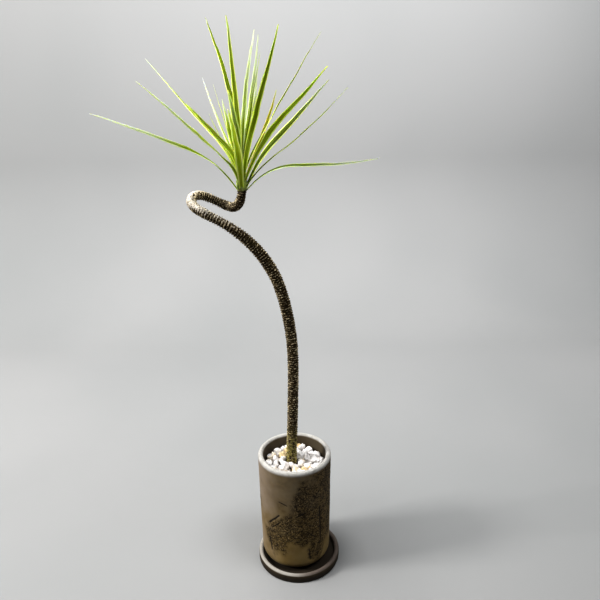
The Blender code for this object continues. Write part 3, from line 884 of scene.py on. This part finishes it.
# turn, lean, droop in degrees; length, width and foot height in mm; first lean in degrees and the
# share by which the lean is full; twist of the outer half in degrees; tone from dark 0 to bright 1,
# and below 0 for a leaf in shade; margin from thin 0 to wide 1; blush of the edge; pale tip
leaves = (
    (-144, 64, 7, 230, 9.0, 1, 34, 0.51, -36, 0.05, 0.5, 0.0, 1.0),
    (-118, 56, 3, 238, 9.0, 11, 19, 0.25, -60, 0.45, 0.6, 0.0, 1.0),
    (147, 50, -1, 233, 8.5, 13, 12, 0.34, 12, 0.1, 0.66, 0.1, 0.72),
    (-106, 61, 2, 195, 10.0, 15, 9, 0.37, 0, 0.8, 0.7, 0.6, 0.3),
    (115, 57, -11, 210, 7.5, 8, 17, 0.37, 36, 0.3, 0.95, 0.0, 1.0),
    (-90, 49, 14, 170, 8.0, 22, 8, 0.53, 25, 0.3, 0.85, 0.0, 1.0),
    (114, 34, 19, 244, 9.2, 32, 4, 0.66, 20, -0.25, 0.4, 0.0, 0.15),
    (-88, 41, 21, 251, 8.0, 28, 3, 0.61, -30, 0.3, 0.62, 0.0, 0.4),
    (80, 33, 7, 218, 7.5, 26, 7, 0.6, -4, -0.25, 0.75, 0.0, 1.0),
    (80, 40, -8, 229, 7.5, 20, 22, 0.32, 14, -0.25, 0.66, 0.0, 0.95),
    (81, 52, -24, 200, 7.0, 12, 22, 0.26, -8, -0.35, 0.66, 0.0, 0.95),
    (-50, 28, -1, 211, 9.5, 18, 13, 0.47, -10, 0.35, 0.62, 0.0, 0.1),
    (60, 43, -14, 155, 7.0, 7, 26, 0.2, 20, 0.05, 0.45, 1.0, 0.2),
    (36, 37, 3, 231, 8.0, 23, 25, 0.31, -46, -0.45, 0.72, 0.2, 0.45),
    (-32, 51, -4, 201, 10.0, 13, 26, 0.69, -30, 0.8, 0.66, 0.0, 0.25),
    (39, 54, -2, 213, 9.5, 2, 29, 0.48, 38, -0.65, 0.54, 0.0, 0.6),
    (-25, 57, -13, 203, 7.5, 5, 37, 0.42, 2, -0.6, 0.5, 0.2, 0.75),
    (14, 98, -17, 209, 8.5, 0, 44, 0.52, 30, -0.6, 0.66, 0.0, 1.0),
    (-88, 62, 15, 235, 11.0, 4, 29, 0.6, -38, 1.0, 0.7, 0.0, 0.35),
    (-162, 24, 0, 92, 6.5, 21, 18, 0.36, -15, 0.45, 0.5, 0.0, 0.3),
    (76, 44, 0, 180, 7.5, 17, 22, 0.36, 0, -0.5, 0.4, 0.0, 0.6),
    (104, 58, 0, 196, 9.0, 2, 29, 0.36, 14, -0.2, 0.4, 0.0, 0.6),
    (175, 15, 0, 118, 7.5, 27, 8, 0.36, 10, 0.6, 0.6, 0.0, 0.4),
    (262, 12, 0, 150, 7.0, 41, 6, 0.36, -10, 0.6, 0.5, 0.0, 0.3),
    (30, 14, 0, 148, 7.0, 36, 7, 0.36, 12, -0.3, 0.45, 0.0, 0.8),
)
bladeSizes = {"Step": 0.003, "Sides": 18, "Channel": 0.28, "Thickness": 0.09, "Ripple": 0.00035, "Twist": 0.0,
              "Seed": 0.0, "Tone": 0.5, "Margin": 0.5, "Blush": 0.0, "Pale tip": 0.5}
# what a blade's mesh carries for its paint, and the input that each comes from
leafTraits = {"tone": "Tone", "margin": "Margin", "blush": "Blush", "paleTip": "Pale tip", "seed": "Seed"}
leafTones = {
    "deep": ((0.055, 0.085, 0.0005), (0.16, 0.225, 0.001)),
    "fresh": ((0.36, 0.49, 0.002), (0.62, 0.73, 0.02)),
    "paleVein": (0.52, 0.62, 0.02),
    "darkVein": (0.045, 0.075, 0.001),
    "yellow": (0.78, 0.85, 0.3),
    # pale edges and tips, on a dark leaf and on a bright one
    "whitish": ((0.47, 0.54, 0.3), (0.76, 0.8, 0.54)),
    "tip": ((0.44, 0.48, 0.36), (0.7, 0.74, 0.6)),
    "redEdge": (0.36, 0.1, 0.03),
    "flush": (0.3, 0.13, 0.02),
    "foot": (0.46, 0.58, 0.04),
    "shaded": (0.02, 0.034, 0.002),
    "channelShadeTone": (0.05, 0.08, 0.002),
}


def stemRadius(height):
    heights, radii = zip(*leafShape["stem"])
    return float(np.interp(height, heights, radii))


def neck():
    x, y, z = trunk["route"][-1]
    return Vector((x, y, z + leafShape["clearance"]))


def leafPath(turn, lean, droop, length, width, height, firstLean, bend):
    # The blade's middle line and half widths, bent out near the foot as in the solids.
    s = leafShape
    turn, lean, droop, first = (radians(a) for a in (turn, lean, droop, firstLean))
    length, width, height = length / 1000, width / 1000, height / 1000
    outward = Vector((cos(turn), sin(turn), 0))
    point = neck() + outward * (stemRadius(height) + s["clearance"]) + Vector((0, 0, height))
    corners = [np.array(point)]
    for k in range(1, s["steps"] + 1):
        share = k / s["steps"]
        ease = min(1, share / bend)
        ease = ease * ease * (3 - 2 * ease)
        angle = first + (lean - first) * ease + droop * share ** 2
        point = point + (outward * sin(angle) + Vector((0, 0, cos(angle)))) * (length / s["steps"])
        corners.append(np.array(point))
    widths = []
    for k in range(s["points"]):
        share = k / (s["points"] - 1)
        foot = s["footWidth"] + (1 - s["footWidth"]) * sin(min(1, share / s["fullFrom"]) * pi / 2)
        taper = 1 - max(0, (share - s["taperFrom"]) / (1 - s["taperFrom"])) ** s["taperPower"]
        widths.append((s["tipWidth"] + (width - s["tipWidth"]) * foot * taper) / 2)
    return smoothRoute(corners, s["points"]), widths


def strapBlade(graph, shape, given):
    # A strap with a shallow V section along the path; it carries its place across and along.
    shape = graph.resampled(shape, given["Step"])
    share = graph.node("GeometryNodeSplineParameter", result="Factor")
    shape = graph.store(shape, "along", share)
    shape = graph.node("GeometryNodeSetCurveNormal", {"Curve": shape}, mode="Z_UP")
    twist = share.ease(0.08, 0.5) * given["Twist"]
    shape = graph.node("GeometryNodeSetCurveTilt", {"Curve": shape, "Tilt": twist})
    flat = graph.circle(given["Sides"])
    x, y = graph.place().parts()[:2]
    side = x.maths("SIGN") * abs(x) ** 0.8
    vee = (abs(side) ** 1.25) * given["Channel"]
    body = y * given["Thickness"] * (1 - abs(side) * 0.55)
    rib = (1 - abs(side).ease(0.0, 0.22)) * given["Thickness"] * -0.35
    flat = graph.movedTo(flat, graph.point(side, vee + body + rib))
    flat = graph.store(flat, "across", x)
    shape = graph.swept(shape, flat)
    sway = {"Vector": graph.place(), "W": given["Seed"], "Scale": 26.0, "Detail": 1.0}
    sway = graph.node("ShaderNodeTexNoise", sway, "Color", noise_dimensions="4D")
    ripple = given["Ripple"] * graph.stored("along").ease(0.05, 0.5) * 10
    shape = graph.moved(shape, sway.plus((-0.5, -0.5, -0.5)).times(ripple))
    for name, label in leafTraits.items():
        shape = graph.store(shape, name, given[label])
    return shape


def leafPaint(graph):
    across, along = graph.stored("across"), graph.stored("along")
    tone, margin, blush, paleTip, seed = (graph.stored(name) for name in leafTraits)
    off = abs(across)
    streak = graph.noise(graph.point(across * 5, along * 2.2, seed), 1.6, detail=3)
    vein = graph.noise(graph.point(across * 26, along * 3, seed), 1.0, detail=1)
    broad = streak.ease(0.35, 0.65)
    green = graph.layered(
        graph.mix(tone, graph.mix(broad, *leafTones["deep"]), graph.mix(broad, *leafTones["fresh"])),
        (vein.ease(0.5, 0.7) * 0.35, leafTones["paleVein"]),
        ((1 - vein.ease(0.32, 0.46)) * 0.4, leafTones["darkVein"]),
    )
    pale = graph.mix(paleTip.ease(0.5, 1.0), leafTones["yellow"], graph.mix(tone, *leafTones["whitish"]))
    edge = 0.97 - margin * 0.5
    border = (off + (streak - 0.5) * 0.3).ease(edge - 0.03, edge + 0.04)
    stripe = streak.ease(0.56, 0.62) * margin.ease(0.4, 0.9)
    redEdge = off.ease(0.86, 0.95) * (0.1 + blush * 0.9)
    flush = vein.ease(0.45, 0.6) * blush.ease(0.5, 1.0)
    tip = along.ease(0.95 - paleTip * 0.55, 1.02) * (0.3 + paleTip * 0.7)
    foot = 1 - along.ease(0.0, 0.1)
    # a leaf in shade is duller but for its pale edges
    shaded = (-tone).most(0) * (1 - border * 0.8)
    # painted shade in the folded channel near the foot of each blade
    channelShade = (1 - along.ease(0.04, 0.24)) * (1 - off.ease(0.25, 0.7))
    colour = graph.layered(
        green,
        (border * 0.94, pale),
        (stripe * 0.85, pale),
        (redEdge * 0.8, leafTones["redEdge"]),
        (flush * 0.7, leafTones["flush"]),
        (tip, graph.mix(tone, *leafTones["tip"])),
        (foot * 0.45, leafTones["foot"]),
        (shaded, leafTones["shaded"]),
        (channelShade * 0.35, leafTones["channelShadeTone"]),
    )
    relief = vein * 0.5 + streak * 0.3
    return graph.look(colour, relief, 0.25, 0.0003, Roughness=0.42 + vein * 0.12)


def makeLeaves():
    green = finish("variegatedLeaf", leafPaint, Subsurface_Weight=0.7, Subsurface_Scale=0.0008,
                   Subsurface_Radius=(0.8, 1.0, 0.15), Specular_IOR_Level=0.03)
    for number, row in enumerate(leaves, 1):
        twist, tone, margin, blush, paleTip = row[8:]
        sizes = {**bladeSizes, "Twist": radians(twist), "Seed": float(number),
                 "Tone": tone, "Margin": margin, "Blush": blush, "Pale tip": paleTip}
        path = pathObject("leafPath", *leafPath(*row[:8]))
        label = f"_{number:02d}"
        makePiece("blade" + label, path, sizes, strapBlade, green, "leaf_green", "leaf" + label)


tipSizes = {"Sheaths": 34, "First height": -0.002, "Climb": 0.0014, "Golden turn": 2.39996,
            "Sheath height": 0.015, "Sheath wrap": 1.25, "Sheath lean": 0.16, "Foot radius": 0.0056,
            "Least radius": 0.0017, "Narrowing": 0.085}
sheathTones = {
    "green": ((0.26, 0.4, 0.03), (0.56, 0.64, 0.2)),
    "dry": (0.095, 0.062, 0.03),
}


def sheathedTip(graph, shape, given):
    # Short clasping sheaths climb round the growing tip in a spiral.
    spots = {"Count": given["Sheaths"], "Offset": (0, 0, 0.001)}
    spots = graph.node("GeometryNodeMeshLine", spots, mode="OFFSET", count_mode="TOTAL")
    index = graph.node("GeometryNodeInputIndex")
    height = index * given["Climb"] + given["First height"]
    foot = neck()
    spots = graph.movedTo(spots, graph.point(foot.x, foot.y, height + foot.z))
    grid = graph.node("GeometryNodeMeshGrid",
                      {"Size X": 2.0, "Size Y": 1.0, "Vertices X": 11, "Vertices Y": 9})
    x, y = graph.place().parts()[:2]
    up = y + 0.5
    angle = x * given["Sheath wrap"] * (1 - up.ease(0.25, 1.0) * 0.93)
    reach = 1.12 + up * given["Sheath lean"] * 2.4 + abs(x) * 0.05
    grid = graph.movedTo(grid, graph.point(angle.maths("SINE") * reach, angle.maths("COSINE") * reach, up))
    grid = graph.store(grid, "along", graph.place().parts()[2] * 0.12)
    radius = (given["Foot radius"] - height.most(0) * given["Narrowing"]).most(given["Least radius"])
    sheaths = graph.node("GeometryNodeInstanceOnPoints", {
        "Points": spots,
        "Instance": grid,
        "Rotation": graph.point(z=index * given["Golden turn"]),
        "Scale": graph.point(radius, radius, given["Sheath height"]),
    })
    solid = graph.node("GeometryNodeRealizeInstances", {"Geometry": sheaths})
    return graph.node("GeometryNodeJoinGeometry", {0: [shape, solid]})


def sheathPaint(graph):
    place = graph.place()
    foot = neck().z
    streak = graph.noise(place.stretched(1, 1, 0.12), 900, detail=2)
    dry = 1 - (place.parts()[2] + (streak - 0.5) * 0.006).ease(foot - 0.002, foot + 0.007)
    colour = graph.mix(streak.ease(0.35, 0.65), *sheathTones["green"])
    colour = graph.mix(dry * 0.9, colour, sheathTones["dry"])
    return graph.look(colour, streak, 0.3, 0.0003, Roughness=0.45 + streak * 0.2)


def makeGrowingTip():
    foot = neck()
    top = leafShape["stem"][-1][0]
    outline = [(0, foot.z)]
    outline += [(stemRadius(height), foot.z + height) for height in np.linspace(0, top, 60)]
    outline += [(0, foot.z + top + leafShape["stemCap"])]
    core = turnedMesh("tipCore", outline, 20, (foot.x, foot.y), closed=False)
    sheaths = finish("leafSheath", sheathPaint, Subsurface_Weight=0.2, Subsurface_Scale=0.001)
    makePiece("sheathed_tip", core, tipSizes, sheathedTip, sheaths, "leaf_green", "growing_tip")


# Stage, lights and camera

stage = {"floorWidth": 5.0, "front": -2.2, "wallAt": 1.35, "curve": 0.5, "wallTop": 2.6, "sink": 0.0002,
         "tones": ((0.25, 0.254, 0.254), (0.282, 0.282, 0.282))}


def makeStage():
    # A floor that curves up into a wall, a hair below the saucer.
    bendAt = stage["wallAt"] - stage["curve"]
    outline = [(stage["front"], 0.0), (bendAt, 0.0)]
    outline += arc((bendAt, stage["curve"]), stage["curve"], -90, 0, 24)[1:]
    outline += [(stage["wallAt"], stage["wallTop"])]
    half = stage["floorWidth"] / 2
    points = [(x, y, z - stage["sink"]) for y, z in outline for x in (-half, half)]
    faces = [(2 * i, 2 * i + 1, 2 * i + 3, 2 * i + 2) for i in range(len(outline) - 1)]
    sweep = meshObject("paleSweep", points, faces)
    sweep.data.shade_smooth()

    def paint(graph):
        cloud = graph.noise(graph.place(), 1.1, detail=2)
        return {"Base Color": graph.mix(cloud.ease(0.3, 0.7), *stage["tones"])}

    sweep.data.materials.append(finish("palePaper", paint, 0.9))
    print("stage:", len(faces), "faces")


lights = {
    # name: (place, what it looks at, side in metres, power in watts, spread in degrees, colour)
    "keyFromLeft": ((-2.6, -0.45, 1.8), (-0.02, 0.0, 0.35), 0.6, 108.0, 180, (1.0, 0.99, 0.97)),
    "overhead": ((-0.45, 0.0, 2.5), (-0.03, 0.0, 0.4), 0.6, 66.0, 180, (1.0, 0.995, 0.985)),
    "wallWash": ((0.9, -0.3, 2.3), (0.12, 1.35, 1.15), 1.0, 35.5, 115, (0.98, 0.99, 1.0)),
}
room = {"colour": (0.97, 0.985, 1.0, 1.0), "strength": 0.13}


def makeLights():
    for name, (place, target, side, power, spread, colour) in lights.items():
        lamp = bpy.data.lights.new(name, "AREA")
        lamp.size, lamp.energy, lamp.spread, lamp.color = side, power, radians(spread), colour
        made = added(name, lamp)
        made.location = place
        made.rotation_mode = "QUATERNION"
        made.rotation_quaternion = (Vector(target) - Vector(place)).to_track_quat("-Z", "Y")
    world = bpy.context.scene.world or bpy.data.worlds.new("room")
    bpy.context.scene.world = world
    world.use_nodes = True
    back = world.node_tree.nodes["Background"]
    back.inputs["Color"].default_value = room["colour"]
    back.inputs["Strength"].default_value = room["strength"]
    print("lights:", len(lights))


# the photo's angle: place in metres, pitch down and roll in degrees, lens and sensor in mm
camera = {"place": (0.0086, -0.8639, 0.796), "pitch": 20.5, "roll": -0.9, "lens": 37.2, "sensor": 36.0}


def makeCamera():
    pitch, roll = radians(camera["pitch"]), radians(camera["roll"])
    forward = Vector((0, cos(pitch), -sin(pitch)))
    level = Vector((1, 0, 0))
    upright = level.cross(forward)
    right = level * cos(roll) + upright * sin(roll)
    up = upright * cos(roll) - level * sin(roll)
    lens = bpy.data.cameras.new("photoAngle")
    lens.lens, lens.sensor_width, lens.sensor_fit = camera["lens"], camera["sensor"], "HORIZONTAL"
    made = added("photoAngle", lens)
    turn = Matrix((right, up, -forward)).transposed()
    made.matrix_world = Matrix.Translation(camera["place"]) @ turn.to_4x4()
    bpy.context.scene.camera = made
    print("camera:", camera["lens"], "mm lens")


makeCamera()
makePot()
makeSaucer()
makeGround()
makeTrunk()
makeLeaves()
makeGrowingTip()
makeStage()
makeLights()
# deeper shadows, as in the photo
bpy.context.scene.view_settings.view_transform = "Standard"
bpy.context.scene.view_settings.gamma = 0.82
